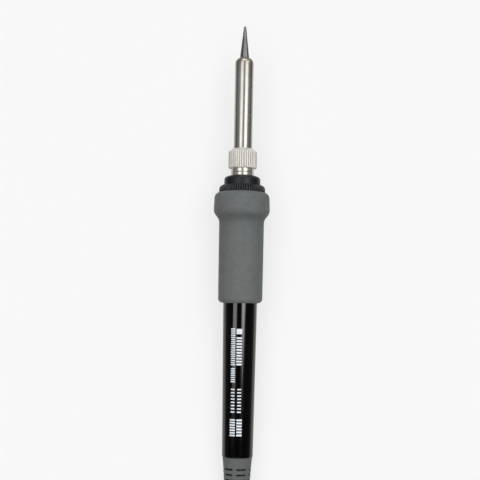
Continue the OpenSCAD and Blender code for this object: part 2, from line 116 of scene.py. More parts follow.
class Paint:
    # one material: node() adds any node, and the short calls below are what the finishes share
    def __init__(self, name, **constants):
        self.material = bpy.data.materials.new(name)
        self.material.use_nodes = True
        self.tree = self.material.node_tree
        self.shader = self.tree.nodes["Principled BSDF"]
        for socket, value in constants.items():
            self.shader.inputs[socket.replace("_", " ")].default_value = value

    def node(self, kind, settings=None, sockets=None, out=0):
        made = self.tree.nodes.new("ShaderNode" + kind)
        for key, value in (settings or {}).items():
            setattr(made, key, value)
        for key, value in (sockets or {}).items():
            if isinstance(value, Wire):
                self.tree.links.new(value.socket, made.inputs[key])
            else:
                made.inputs[key].default_value = value
        return Wire(self, made.outputs[out])

    def feed(self, socket, wire):
        self.tree.links.new(wire.socket, self.shader.inputs[socket])

    def place(self):  # where a point is on the iron's own axis, in metres
        back = ironFrame.inverted()
        return self.node("Mapping", {}, {
            "Vector": self.node("TexCoord", out="Object"), "Location": back.to_translation(),
            "Rotation": back.to_euler()})

    def parts(self, spot):
        split = self.node("SeparateXYZ", {}, {0: spot}).socket.node
        return [Wire(self, output) for output in split.outputs]

    def station(self, spot):  # distance along the axis in mm
        return self.parts(spot)[2] * inMm

    def radius(self, spot):  # distance from the axis in mm
        x, y, _ = self.parts(spot)
        return (x * x + y * y) ** 0.5 * inMm

    def grain(self, spot, scale, detail=2.0, rough=0.5, stretch=(1, 1, 1)):
        if stretch != (1, 1, 1):
            spot = self.node("Mapping", {}, {"Vector": spot, "Scale": stretch})
        return self.node("TexNoise", {}, {
            "Vector": spot, "Scale": scale, "Detail": detail, "Roughness": rough})

    def cells(self, spot, scale):
        return self.node("TexVoronoi", {"feature": "F1"}, {"Vector": spot, "Scale": scale})

    def ease(self, value, low, high, start=0.0, end=1.0):  # start below low, end above high, smooth between
        return self.node("MapRange", {"interpolation_type": "SMOOTHSTEP"}, {
            "Value": value, "From Min": low, "From Max": high, "To Min": start, "To Max": end})

    def blend(self, share, first, second):
        mixed = self.node("Mix", {"data_type": "RGBA"}, {
            "Factor": share,
            6: first if isinstance(first, Wire) else (*first, 1),
            7: second if isinstance(second, Wire) else (*second, 1)})
        return Wire(self, mixed.socket.node.outputs[2])

    def bump(self, height, depth, strength):  # depth in mm
        self.feed("Normal", self.node("Bump", {}, {
            "Height": height, "Distance": depth * mm, "Strength": strength}))


# Section drawing: an outline is a list of corners (radius, station, rounding) in mm.
# Here is the share of a side that a rounding may take, and where a row beside it keeps the flat flat.
drawing = {"most": 0.45, "guardFrom": 3.2, "guard": 1.5}


def arcCorners(radius, station, size, start, end, steps):  # angles in degrees from the outward direction
    angles = [math.radians(start + (end - start) * i / steps) for i in range(steps + 1)]
    return [(radius + size * math.cos(a), station + size * math.sin(a), 0) for a in angles]


def soften(corners, closed=True, steps=4):  # rounds the corners and keeps the flats beside them flat
    points = []
    for i, (radius, station, rounding) in enumerate(corners):
        here = Vector((radius, station))
        if rounding == 0 or (not closed and i in (0, len(corners) - 1)):
            points.append(here)
            continue
        back = Vector(corners[i - 1][:2]) - here
        ahead = Vector(corners[(i + 1) % len(corners)][:2]) - here
        reach = min(rounding, drawing["most"] * back.length, drawing["most"] * ahead.length)
        start, end = here + back.normalized() * reach, here + ahead.normalized() * reach
        if back.length > drawing["guardFrom"] * reach:
            points.append(here + back.normalized() * reach * drawing["guard"])
        for k in range(steps + 1):
            t = k / steps
            points.append(start * (1 - t) ** 2 + here * 2 * t * (1 - t) + end * t ** 2)
        if ahead.length > drawing["guardFrom"] * reach:
            points.append(here + ahead.normalized() * reach * drawing["guard"])
    return points


def spreadRows(points, longest, closed=True):  # adds points so that no step of the outline is longer
    rows = []
    count = len(points) if closed else len(points) - 1
    for i in range(count):
        start, end = points[i], points[(i + 1) % len(points)]
        pieces = max(1, math.ceil((end - start).length / longest))
        rows += [start.lerp(end, k / pieces) for k in range(pieces)]
    return rows if closed else rows + [points[-1]]
def between(start, end, count):  # the points that divide one step of an outline into count parts
    return [start.lerp(end, k / count) for k in range(1, count)]


def nextTo(rows):  # every point of a closed outline with the one after it
    return zip(rows, rows[1:] + rows[:1])

def makePiece(name, points, faces, sharpAngle=35):
    mesh = bpy.data.meshes.new(name)
    mesh.from_pydata(points.tolist(), [], faces)
    mesh.validate()
    mesh.shade_smooth()
    mesh.set_sharp_from_angle(angle=math.radians(sharpAngle))
    mesh.transform(ironFrame)
    piece = bpy.data.objects.new(name, mesh)
    bpy.context.scene.collection.objects.link(piece)
    return piece


def spin(name, outline, sides=128, closed=True, shape=None, angles=None, sharpAngle=35):
    # turns an outline round the axis; shape(angle, radius, station, outR, outZ) may move each ring's points
    rows = np.array([tuple(p) for p in outline])
    if angles is None:
        angles = np.arange(sides) * 2 * math.pi / sides
    sides = len(angles)
    ahead, behind = np.roll(rows, -1, 0), np.roll(rows, 1, 0)
    if not closed:
        ahead[-1], behind[0] = rows[-1], rows[0]
    area = np.sum(rows[:, 0] * np.roll(rows[:, 1], -1) - np.roll(rows[:, 0], -1) * rows[:, 1])
    way = 1 if area > 0 else -1  # the outline's own turning sense
    run = ahead - behind
    run = run / np.maximum(np.linalg.norm(run, axis=1), 1e-9)[:, None]
    outward = np.stack([run[:, 1], -run[:, 0]], 1) * way
    radius = np.repeat(rows[:, :1], sides, 1)
    station = np.repeat(rows[:, 1:], sides, 1)
    if shape:
        radius, station = shape(angles[None, :], radius, station, outward[:, :1], outward[:, 1:])
    ring = np.stack([radius * np.cos(angles), radius * np.sin(angles), station], 2) * mm
    points, index, total = [], [], 0
    for row, place in zip(rows, ring):
        single = row[0] < 1e-6 and not closed
        points.append(place[:1] if single else place)
        index.append([total] * sides if single else list(range(total, total + sides)))
        total += 1 if single else sides
    faces = []
    for i in range(len(rows) if closed else len(rows) - 1):
        low, high = index[i], index[(i + 1) % len(rows)]
        for k in range(sides):
            n = (k + 1) % sides
            corners = (low[k], low[n], high[n], high[k]) if way > 0 else (low[k], high[k], high[n], low[n])
            faces.append(tuple(dict.fromkeys(corners)))
    return makePiece(name, np.concatenate(points), faces, sharpAngle)


def finishPiece(piece, body, nodes, paint):
    piece.data.materials.append(paint.material)
    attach(piece, body)
    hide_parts(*nodes)
    print(piece.name, "on", body, len(piece.data.polygons), "faces")
def threadCut(angle, station, pitch, depth, start, end, flat=0.2):
    # how far the helix of a right-hand thread is cut in at a point
    turn = (station / pitch - angle / (2 * math.pi)) % 1
    valley = np.clip((0.5 - np.abs(turn - 0.5)) * 2 / (1 - flat) - flat / 2, 0, 1)
    fade = np.clip((station - start) / pitch * 2, 0, 1) * np.clip((end - station) / pitch * 2, 0, 1)
    return depth * (1 - valley) * fade


# Handle: glossy black tube, slightly tapered, with a rounded rear lip and the nipple's threaded socket
handle = {
    "rear": 29.2, "front": 143.15, "gripRear": 95.0, "rearR": 6.63, "frontR": 7.35, "boreR": 5.6,
    "lipR": 4.4, "lip": 2.0, "socketR": 6.22, "socket": 12.5, "pitch": 1.5, "groove": 0.25, "edge": 0.4,
    "threadFrom": 0.6, "threadTo": 1.2, "sides": 144, "longest": 0.9, "threadRows": 5,
    "dark": (0.0010, 0.0010, 0.0012), "light": (0.0022, 0.0022, 0.0026), "rough": 0.09}


def handleRadius(station):
    share = (station - handle["rear"]) / (handle["gripRear"] - handle["rear"])
    return handle["rearR"] + (handle["frontR"] - handle["rearR"]) * min(max(share, 0), 1)


def handlePaint():
    paint = Paint("handlePlastic", IOR=1.7)
    spot = paint.place()
    cloud = paint.grain(spot, 45, 3)
    rub = paint.grain(spot, 1, 4, 0.6, (2400, 2400, 70))  # faint lengthwise rubbing
    pits = paint.grain(spot, 1400, 2)
    paint.feed("Base Color", paint.blend(paint.ease(cloud, 0.35, 0.7), handle["dark"], handle["light"]))
    paint.feed("Roughness", handle["rough"] + 0.05 * cloud + 0.05 * paint.ease(rub, 0.5, 0.75))
    paint.bump(pits, 0.004, 0.4)
    return paint


def makeHandle():
    h = handle
    step, lipFront = h["front"] - h["socket"], h["rear"] + h["lip"]
    threadRear, threadFront = step + h["threadFrom"], h["front"] - h["threadTo"]
    corners = [
        (h["lipR"], h["rear"], 0.15), (handleRadius(h["rear"]), h["rear"], h["edge"]),
        (h["frontR"], h["gripRear"], 0), (h["frontR"], h["front"], 0.3), (h["socketR"], h["front"], 0.2),
        (h["socketR"], step, 0.1), (h["boreR"], step, 0.15), (h["boreR"], lipFront, 0.1),
        (h["lipR"], lipFront, 0.15)]
    outline = []
    for p, q in nextTo(spreadRows(soften(corners), h["longest"])):
        outline.append(p)
        if abs(p.x - h["socketR"]) < 0.01 and abs(q.x - h["socketR"]) < 0.01:
            outline += between(p, q, h["threadRows"])

    def shape(angle, radius, station, outR, outZ):
        socket = (abs(radius - h["socketR"]) < 0.01) & (station > step + 0.2)
        cut = threadCut(angle, station, h["pitch"], h["groove"], threadRear, threadFront)
        return radius + np.where(socket, cut, 0), station

    piece = spin("handleShell", outline, h["sides"], shape=shape)
    finishPiece(piece, "handle", ["handle_body"], handlePaint())


makeHandle()

# Print on the handle: plain white blocks in two rows, with no letters
printRows = {
    "lift": 0.02, "sink": 0.03, "corner": 0.15, "across": 8, "down": 10,
    "thin": (0.66, 0.71, 0.78), "full": (0.86, 0.91, 0.97),
    # start station, end station, blocks, degrees round from the top, width in mm, share of the pitch that is white
    "rows": [
        (84.4, 81.4, 1, -0.5, 2.4, 0.75), (80.7, 68.3, 10, -0.3, 2.3, 0.60),
        (84.4, 68.3, 18, -22.0, 1.9, 0.55), (67.5, 61.1, 7, -21.4, 1.9, 0.57),
        (59.0, 48.1, 8, 2.6, 1.7, 0.42), (59.0, 48.1, 8, -20.8, 1.7, 0.42),
        (46.0, 38.4, 6, 4.2, 2.3, 0.62), (46.0, 38.4, 7, -20.8, 2.4, 0.60)]}


def makePrint():
    across, down = printRows["across"], printRows["down"]
    points, faces = [], []
    for start, end, count, centre, width, share in printRows["rows"]:
        pitch = (start - end) / count
        for i in range(count):
            middle, half = start - pitch * (i + 0.5), pitch * share / 2
            corner = min(printRows["corner"], half)
            first = len(points)
            levels = []
            for k in range(down + 1):
                reach = half * math.sin(math.pi * (k / down - 0.5))
                over = max(0, abs(reach) - (half - corner))
                narrow = width / 2 - corner + math.sqrt(max(corner ** 2 - over ** 2, 0))
                levels.append((middle + reach, max(narrow, width / 2 - corner)))
            for lift in (printRows["lift"], -printRows["sink"]):
                for station, narrow in levels:
                    radius = handleRadius(station) + lift
                    for j in range(across + 1):
                        angle = math.radians(centre - 90) + narrow * (2 * j / across - 1) / radius
                        points.append((radius * math.cos(angle) * mm, radius * math.sin(angle) * mm, station * mm))
            wide, layer = across + 1, (across + 1) * (down + 1)
            for k in range(down):
                for j in range(across):
                    a = first + k * wide + j
                    b = a + layer
                    faces += [(a, a + wide, a + wide + 1, a + 1), (b, b + 1, b + wide + 1, b + wide)]
            rim = [k * wide for k in range(down + 1)]
            rim += [down * wide + j for j in range(1, across + 1)]
            rim += [k * wide + across for k in range(down - 1, -1, -1)]
            rim += [j for j in range(across - 1, 0, -1)]
            for p, q in nextTo(rim):
                faces.append((first + p, first + layer + p, first + layer + q, first + q))
    paint = Paint("printWhite")
    spot = paint.place()
    ink = paint.grain(spot, 1900, 3)
    paint.feed("Base Color", paint.blend(paint.ease(ink, 0.3, 0.62), printRows["thin"], printRows["full"]))
    paint.feed("Roughness", 0.35 + 0.2 * ink)
    paint.bump(ink, 0.004, 0.5)
    piece = makePiece("handlePrint", np.array(points), faces)
    piece.data.materials.append(paint.material)
    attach(piece, "handle")
    print("handlePrint", len(faces), "faces")


makePrint()

# Grip: slip-on foam sleeve with a finger flange
grip = {
    "rear": 95.0, "front": 143.2, "boreR": 7.4, "rearR": 9.65, "neckR": 9.83, "neck": 129.6,
    "flangeR": 12.25, "flange": 135.6, "frontR": 12.05, "frontEdge": 2.6, "rearEdge": 1.9,
    "waves": 0.05, "waveScale": 0.09, "pores": 0.022, "poreScale": 1.5, "sides": 220, "longest": 0.55,
    # tone is the foam's own grey; the darker colour after it is the painted shade under the flange
    "tone": (0.142, 0.153, 0.153), "flangeShade": (0.085, 0.092, 0.092), "poreSize": 2300, "mottle": 0.07}


def gripPaint(name, tone, poreSize, depth, mottle, stainAndShade):
    paint = Paint(name, Sheen_Weight=0.2, Sheen_Roughness=0.5, Specular_IOR_Level=0.25)
    spot = paint.place()
    pores = paint.cells(spot, poreSize)
    grit = paint.grain(spot, poreSize * 1.7, 3, 0.6)
    cloud = paint.grain(spot, 420, 4, 0.6)
    warmth = paint.grain(spot, 60, 2)
    dark, light = tuple(c * (1 - mottle) for c in tone), tuple(c * (1 + mottle) for c in tone)
    base = paint.blend(paint.ease(cloud, 0.3, 0.7), dark, light)
    base = paint.blend(paint.ease(warmth, 0.35, 0.7) * 0.35, base, (tone[0] * 1.08, tone[1], tone[2] * 0.9))
    base = paint.blend(paint.ease(pores, 0.05, 0.35, 0.35, 0), base, tuple(c * 0.55 for c in tone))
    # the colour function passed in adds the piece's painted shade: under the grip's flange, deep in the bushing's
    # slots
    paint.feed("Base Color", stainAndShade(paint, spot, base))
    paint.feed("Roughness", 0.78 + 0.18 * grit)
    paint.bump(0.6 * pores + 0.4 * grit, depth, 0.9)
    return paint


def makeGrip():
    g = grip
    drop, run = g["flangeR"] - g["neckR"], g["flange"] - g["neck"]
    bend = (run * run + drop * drop) / (4 * drop)
    turn = math.degrees(2 * math.atan(drop / run))
    corners = [(g["boreR"], g["rear"], 0.12)]
    corners += arcCorners(g["rearR"] - g["rearEdge"], g["rear"] + g["rearEdge"], g["rearEdge"], -90, 0, 14)
    corners += arcCorners(g["neckR"] + bend, g["neck"], bend, 180, 180 - turn, 14)
    corners += arcCorners(g["flangeR"] - bend, g["flange"], bend, -turn, 0, 14)[1:]
    corners += arcCorners(g["frontR"] - g["frontEdge"], g["front"] - g["frontEdge"], g["frontEdge"], 0, 90, 18)
    corners += [(g["boreR"], g["front"], 0.12)]
    rows = spreadRows(soften(corners), g["longest"])

    def shape(angle, radius, station, outR, outZ):  # slow waves and fine roughness, only inwards from the outline
        x, y, sink = radius * np.cos(angle), radius * np.sin(angle), np.zeros(radius.shape)
        for i, k in zip(*np.nonzero(radius > g["boreR"] + 0.15)):
            spot = Vector((x[i, k], y[i, k], station[i, k]))
            wave, pore = noise.noise(spot * g["waveScale"]), noise.noise(spot * g["poreScale"])
            sink[i, k] = (0.5 - wave) * g["waves"] + (1 - pore) * g["pores"]
        return radius - sink * outR, station - sink * outZ

    def flangeShade(paint, spot, base):  # painted shade: a little darker in the hollow under the flange
        station = paint.station(spot)
        rise = paint.ease(station, g["neck"] - 2.5, g["neck"] + 2)
        fall = paint.ease(station, g["neck"] + 2, g["flange"] - 1, 1, 0)
        return paint.blend(rise * fall * 0.45, base, g["flangeShade"])

    piece = spin("gripFoam", rows, g["sides"], shape=shape, sharpAngle=60)
    paint = gripPaint("gripFoamGrey", g["tone"], g["poreSize"], 0.05, g["mottle"], flangeShade)
    finishPiece(piece, "handle", ["foam_grip"], paint)


makeGrip()

# Cord bushing: tapered rubber strain relief with rows of part-round slots
bushing = {
    "holeR": 2.6, "rearR": 4.5, "frontR": 6.4, "collarR": 6.1, "collar": 26.4, "end": 29.2, "neckR": 4.35,
    "neckEnd": 31.2, "headR": 5.2, "head": 3.0, "edge": 0.6, "rows": 9, "pitch": 2.29, "first": 24.3,
    "slot": 0.86, "floorR": 3.5, "around": 6, "bridge": 17.0, "phase": -101.5, "lip": 0.09, "lipDip": 0.05,
    # the near-black colour on the next line is the painted shade deep in the slots
    "wall": 0.03, "middleR": 5.4, "tone": (0.122, 0.130, 0.130), "slotShade": (0.008, 0.008, 0.009),
    "poreSize": 3600, "mottle": 0.04}


def makeBushing():
    b = bushing
    lines = [-b["lip"], -b["lip"] / 2, 0, b["wall"]]  # grid lines beside each slot edge, outside to inside
    slotRows = [b["first"] - b["pitch"] * i for i in range(b["rows"])]
    span, period = 360 / b["around"] - b["bridge"], 360 / b["around"]
    middles = [b["phase"] + period / 2 + period * k for k in range(b["around"])]
    degree = math.degrees(1 / b["middleR"])  # one mm round the bushing
    turns = []
    for middle in middles:
        edges = [middle - span / 2 + d * degree for d in lines] + [middle + span / 2 - d * degree for d in lines]
        inner = np.linspace(middle - span / 2 + 1, middle + span / 2 - 1, 15)
        bridge = np.linspace(middle + span / 2 + 2, middle + span / 2 + b["bridge"] - 2, 5)
        turns += [*edges, *inner, *bridge]
    angles = np.radians(np.sort(np.array(turns)))
    corners = [(b["holeR"], 0, 0.15)] + arcCorners(b["rearR"] - b["edge"], b["edge"], b["edge"], -90, 0, 8)
    corners += [(b["collarR"], b["collar"], 0), (b["frontR"], b["end"] - 0.02, 0.1), (b["neckR"], b["end"], 0)]
    corners += [(b["neckR"], b["neckEnd"], 0.1), (b["headR"], b["neckEnd"], 0.2)]
    corners += [(b["headR"] - 0.4, b["neckEnd"] + b["head"], 0.3), (b["holeR"], b["neckEnd"] + b["head"], 0.15)]
    start, end = Vector((b["rearR"], b["edge"])), Vector((b["collarR"], b["collar"]))
    edges = {round(z + side * (b["slot"] / 2 - d), 4) for z in slotRows for side in (-1, 1) for d in lines}
    plain = np.linspace(b["edge"] + 0.3, b["collar"] - 0.3, 24).round(4).tolist()
    outline = []
    for p, q in nextTo(soften(corners)):
        outline.append(p)
        if abs(p.y - b["edge"]) < 1e-3 and p.x > b["rearR"] - 0.1 and q.y > b["collar"] - 2:  # the long taper
            outline += [start.lerp(end, (z - start.y) / (end.y - start.y)) for z in sorted(edges | set(plain))]

    def shape(angle, radius, station, outR, outZ):
        gapZ = np.full(radius.shape, -9.0)
        for z in slotRows:
            gapZ = np.maximum(gapZ, b["slot"] / 2 - np.abs(station - z))
        off = np.degrees(angle) - b["phase"] - period / 2
        off = (off + period / 2) % period - period / 2
        gapA = (span / 2 - np.abs(off)) / degree
        gap = np.minimum(gapZ, gapA)
        dip = np.clip(gap / b["lip"] + 1, 0, 1) ** 2 * b["lipDip"]
        full = np.clip(gap / b["wall"], 0, 1)
        outer = (radius > b["floorR"] + 0.4) & (station < b["collar"] - 0.01) & (station > b["edge"] + 0.01)
        cut = np.where(outer, dip * (1 - full) + full * (radius - b["floorR"]), 0)
        return radius - cut, station

    def slotShade(paint, spot, base):  # painted shade deep in the slots, darker where a slot is deeper
        slope = (b["collarR"] - b["rearR"]) / (b["collar"] - b["edge"])
        skin = (paint.station(spot) - b["edge"]) * slope + b["rearR"]
        depth = paint.ease(skin - paint.radius(spot), 0.15, 0.6)
        inside = paint.ease(paint.radius(spot), b["floorR"] - 0.3, b["floorR"] - 0.1)
        return paint.blend(depth * inside * 0.9, base, b["slotShade"])

    paint = gripPaint("bushingRubberGrey", b["tone"], b["poreSize"], 0.012, b["mottle"], slotShade)
    piece = spin("bushingSleeve", outline, shape=shape, angles=angles, sharpAngle=40)
    finishPiece(piece, "handle", ["cord_bushing"], paint)


makeBushing()

# Nipple: domed ring, ribbed ring and threaded spigot, one moulding
nipple = {
    "rear": 143.3, "ringFront": 146.3, "domeFront": 150.6, "ringR": 10.05, "ringEdge": 1.9, "domeR": 7.87,
    "domeEdge": 1.5, "domeFall": 0.5, "ribs": 60, "ribDepth": 0.55, "ribSides": 8, "spigot": 12.0,
    "spigotR": 6.12, "spigotCut": 0.3, "pitch": 1.5, "threadRows": 84, "reliefR": 5.72, "relief": 1.2,
    "boreR": 3.8, "tubeR": 4.42, "tubeRear": 144.6, "anchorR": 5.62, "anchor": 146.18, "anchorEnd": 147.42,
    "sunkR": 5.02, "sunk": 0.42, "dark": (0.006, 0.0075, 0.011), "light": (0.010, 0.012, 0.017),
    # the colour on the next line is the rib crests' wear and painted highlight
    "crestWearAndHighlight": (0.045, 0.049, 0.052)}


def nipplePaint():
    paint = Paint("nippleBlack", IOR=1.5)
    spot = paint.place()
    spark = paint.grain(spot, 2600, 3, 0.6)  # spark-eroded mould texture
    cloud = paint.grain(spot, 220, 3)
    x, y, _ = paint.parts(spot)
    turn = paint.node("Math", {"operation": "ARCTAN2"}, {0: y, 1: x})
    ridge = paint.node("Math", {"operation": "COSINE"}, {0: turn * nipple["ribs"]}) * 0.5 + 0.5
    onRing = paint.ease(paint.station(spot), nipple["ringFront"] - 0.1, nipple["ringFront"], 1, 0)
    crestWearAndHighlight = onRing * paint.ease(ridge, 0.55, 0.9)
    base = paint.blend(paint.ease(cloud, 0.35, 0.65), nipple["dark"], nipple["light"])
    paint.feed("Base Color", paint.blend(crestWearAndHighlight, base, nipple["crestWearAndHighlight"]))  # rib crests lighter grey: wear and painted highlight
    paint.feed("Roughness", 0.30 + 0.16 * spark)
    paint.bump(spark, 0.02, 0.6)
    return paint


def makeNipple():
    n = nipple
    spigotRear, domeFoot = n["rear"] - n["spigot"], n["domeFront"] - n["domeFall"] - n["domeEdge"]
    sunk = n["domeFront"] - n["sunk"]
    corners = [
        (n["boreR"], spigotRear, 0.2), (n["spigotR"], spigotRear, 0.35),
        (n["spigotR"], n["rear"] - n["relief"], 0.1), (n["reliefR"], n["rear"] - n["relief"] + 0.3, 0.1),
        (n["reliefR"], n["rear"], 0.15), (n["ringR"], n["rear"], 0.25)]
    corners += arcCorners(n["ringR"] - n["ringEdge"], n["ringFront"] - n["ringEdge"], n["ringEdge"], 0, 78, 14)
    corners += [(n["domeR"] + 0.02, n["ringFront"], 0.06)]
    corners += arcCorners(n["domeR"] - n["domeEdge"], domeFoot, n["domeEdge"], 0, 70, 12)
    corners += [
        (n["sunkR"] + 0.15, n["domeFront"], 0.1), (n["sunkR"], n["domeFront"] - 0.12, 0.05),
        (n["sunkR"], sunk, 0), (n["tubeR"], sunk, 0), (n["tubeR"], n["anchorEnd"], 0),
        (n["anchorR"], n["anchorEnd"], 0), (n["anchorR"], n["anchor"], 0), (n["tubeR"], n["anchor"], 0),
        (n["tubeR"], n["tubeRear"], 0), (n["boreR"], n["tubeRear"], 0)]
    threadR, threadEnd, outline = n["spigotR"] - 0.22, n["rear"] - 1, []
    for p, q in nextTo(soften(corners)):
        outline.append(p)
        if min(p.x, q.x) > threadR and max(p.y, q.y) < threadEnd and q.y - p.y > 2:
            outline += between(p, q, n["threadRows"])
        if min(p.x, q.x) > n["ringR"] - 0.1 and q.y - p.y > 0.4:
            outline += between(p, q, 4)

    def shape(angle, radius, station, outR, outZ):
        spigot = (radius > threadR) & (station < n["rear"] - 0.9) & (station > spigotRear + 0.01)
        thread = threadCut(angle, station, n["pitch"], n["spigotCut"], spigotRear + 0.3, n["rear"] - 1.3)
        cut = np.where(spigot, thread, 0)
        wave = 0.5 - 0.5 * np.cos(angle * n["ribs"])
        rib = np.clip(1.25 * wave - 0.3, 0, 1) ** 1.3  # narrow valleys, wide rounded ribs
        ring = (radius > n["domeR"] + 0.25) & (station > n["rear"] + 0.02)
        fade = np.clip((radius - n["domeR"] - 0.25) / 0.6, 0, 1)
        sink = np.where(ring, n["ribDepth"] * rib * fade, 0)
        return radius - cut - sink * outR, station - sink * outZ

    piece = spin("nippleMoulding", outline, n["ribs"] * n["ribSides"], shape=shape, sharpAngle=38)
    finishPiece(piece, "nipple", ["nipple_collar"], nipplePaint())


makeNipple()

# Ferrule: plated tube moulded into the nipple, with its bright collar and the nut's thread
ferrule = {
    "rear": 144.6, "boreR": 2.9, "shankR": 4.4, "anchorR": 5.6, "anchor": 146.2, "anchorEnd": 147.4,
    "sunk": 150.2, "outR": 5.0, "ring": 151.8, "ringCut": (0.15, 0.25), "groove": 153.6, "rootR": 4.6,
    "thread": 154.0, "front": 160.3, "pitch": 1.0, "depth": 0.4, "threadRows": 70, "sides": 144,
    # the last colour is dirt and painted shade in the ring groove and thread roots
    "bright": (0.86, 0.82, 0.74), "dull": (0.76, 0.71, 0.62), "rough": 0.16, "dirtAndShade": (0.16, 0.13, 0.09)}


def metalPaint(name, bright, dull, rough, turned, stainAndShade=None, metal=1.0, relief=0.35):
    # plated or polished metal: fine turning rings, cloudy polish and small scratches
    # the colour function passed in, called with (paint, spot, base), gives the colour with its heat tint, or with
    # its dirt and the painted shade in its grooves
    paint = Paint(name, Metallic=metal)
    spot = paint.place()
    rings = paint.grain(spot, 1, 3, 0.6, (90, 90, 14000))
    cloud = paint.grain(spot, 230, 4, 0.6)
    scratch = paint.grain(spot, 1, 3, 0.55, (5200, 5200, 240))
    base = paint.blend(paint.ease(cloud, 0.3, 0.7), bright, dull)
    if stainAndShade:
        base = stainAndShade(paint, spot, base)
    paint.feed("Base Color", base)
    paint.feed("Roughness", rough + 0.08 * cloud + turned * rings + 0.06 * paint.ease(scratch, 0.55, 0.75))
    paint.bump(0.5 * rings + 0.5 * scratch, 0.004, relief)
    return paint


def makeFerrule():
    f = ferrule
    ringR, ringEnd = f["outR"] - f["ringCut"][0], f["ring"] + f["ringCut"][1]

    def dirtAndShade(paint, spot, base):
        # dirt and painted shade: all that is sunk below the outer skin, the ring groove and thread roots, is
        # darkened
        depth = paint.ease(paint.radius(spot), f["outR"] - 0.2, f["outR"] - 0.04, 1, 0)
        return paint.blend(depth * 0.7, base, f["dirtAndShade"])

    corners = [
        (f["boreR"], f["rear"], 0.1), (f["shankR"], f["rear"], 0.1), (f["shankR"], f["anchor"], 0),
        (f["anchorR"], f["anchor"], 0.05), (f["anchorR"], f["anchorEnd"], 0.05), (f["shankR"], f["anchorEnd"], 0),
        (f["shankR"], f["sunk"], 0), (f["outR"], f["sunk"], 0.03), (f["outR"], f["ring"] - 0.05, 0.08),
        (ringR, f["ring"] + 0.05, 0.04), (ringR, ringEnd - 0.05, 0.04), (f["outR"], ringEnd + 0.05, 0.08),
        (f["outR"], f["groove"], 0.06), (f["rootR"], f["groove"] + 0.06, 0.05),
        (f["rootR"], f["thread"] - 0.1, 0.1), (f["outR"], f["thread"] + 0.1, 0.02),
        (f["outR"], f["front"] - 0.25, 0.08), (f["outR"] - 0.25, f["front"], 0.08), (f["boreR"], f["front"], 0.15)]
    outline = []
    for p, q in nextTo(soften(corners, steps=3)):
        outline.append(p)
        if min(p.x, q.x) > f["outR"] - 0.01 and p.y > f["thread"] and q.y - p.y > 1:
            outline += between(p, q, f["threadRows"])

    def shape(angle, radius, station, outR, outZ):
        onThread = (radius > f["outR"] - 0.06) & (station > f["thread"] + 0.05)
        cut = threadCut(angle, station, f["pitch"], f["depth"], f["thread"] - 0.3, f["front"] + 0.2)
        return np.where(onThread, radius - cut, radius), station

    paint = metalPaint("ferruleNickel", f["bright"], f["dull"], f["rough"], 0.06, dirtAndShade, 0.85, 0.15)
    piece = spin("ferruleTube", outline, f["sides"], shape=shape)
    finishPiece(piece, "nipple", ["nipple_ferrule"], paint)


makeFerrule()

# Nut: straight knurl, both ends chamfered
nut = {
    "rear": 153.5, "front": 162.4, "outR": 6.2, "grooves": 36, "grooveSides": 10, "depth": 0.3,
    "frontCut": (1.5, 1.78), "rearCut": (0.35, 1.02), "boreR": 5.08, "wall": 161.1, "holeR": 4.17,
    "pitch": 1.0, "threadDepth": 0.25, "threadRows": 60, "plainRows": 16,
    "bright": (0.95, 0.925, 0.87), "dull": (0.86, 0.83, 0.765), "rough": 0.33,
    # the first colour here is dirt and painted shade in the knurl grooves
    "dirtAndShade": (0.31, 0.26, 0.19), "crest": (0.93, 0.91, 0.87)}


def makeNut():
    k = nut
    frontR, rearR = k["outR"] - k["frontCut"][1], k["outR"] - k["rearCut"][1]
    knurlRear, knurlFront = k["rear"] + k["rearCut"][0], k["front"] - k["frontCut"][0]
    corners = [
        (k["boreR"] + 0.02, k["rear"], 0.05), (rearR, k["rear"], 0.08), (k["outR"], knurlRear, 0.15),
        (k["outR"], knurlFront, 0.12), (frontR, k["front"], 0.1), (k["holeR"], k["front"], 0.08),
        (k["holeR"], k["wall"], 0.05), (k["boreR"], k["wall"], 0.1)]
    outline = []
    for p, q in nextTo(soften(corners)):
        outline.append(p)
        if min(p.x, q.x) > k["holeR"] + 0.13 and (q - p).length > 0.5:
            outline += between(p, q, k["threadRows"] if abs(p.x - k["boreR"]) < 0.05 else k["plainRows"])

    def shape(angle, radius, station, outR, outZ):
        wave = 0.5 - 0.5 * np.cos(angle * k["grooves"])
        limit = k["outR"] - k["depth"] * np.clip(1.3 * wave - 0.25, 0, 1)
        bore = (abs(radius - k["boreR"]) < 0.01) & (station < k["wall"] - 0.4)
        cut = threadCut(angle, station, k["pitch"], k["threadDepth"], k["rear"] + 0.6, k["wall"] - 0.5)
        return np.where(bore, radius + cut, np.minimum(radius, limit)), station

    def dirtAndShade(paint, spot, base):
        radius, station = paint.radius(spot), paint.station(spot)
        knurl = paint.ease(station, knurlRear - 0.1, knurlRear + 0.1)
        knurl = knurl * paint.ease(station, knurlFront - 0.3, knurlFront, 1, 0)
        # dirt and painted shade in the knurl grooves, in patches
        deep = paint.ease(radius, k["outR"] - k["depth"] - 0.03, k["outR"] - 0.05, 1, 0) * knurl
        grease = paint.grain(spot, 500, 4, 0.6)
        base = paint.blend(deep * paint.ease(grease, 0.25, 0.6, 0.4, 0.85), base, k["dirtAndShade"])
        crest = paint.ease(radius, k["outR"] - 0.07, k["outR"] - 0.01)
        return paint.blend(crest * 0.5, base, k["crest"])  # plating rubbed bright on the crests

    paint = metalPaint("nutNickel", k["bright"], k["dull"], k["rough"], 0.06, dirtAndShade, 0.55, 0.2)
    piece = spin("nutKnurled", outline, k["grooves"] * k["grooveSides"], shape=shape, sharpAngle=32)
    finishPiece(piece, "nut", ["enclosure_nut"], paint)


makeNut()

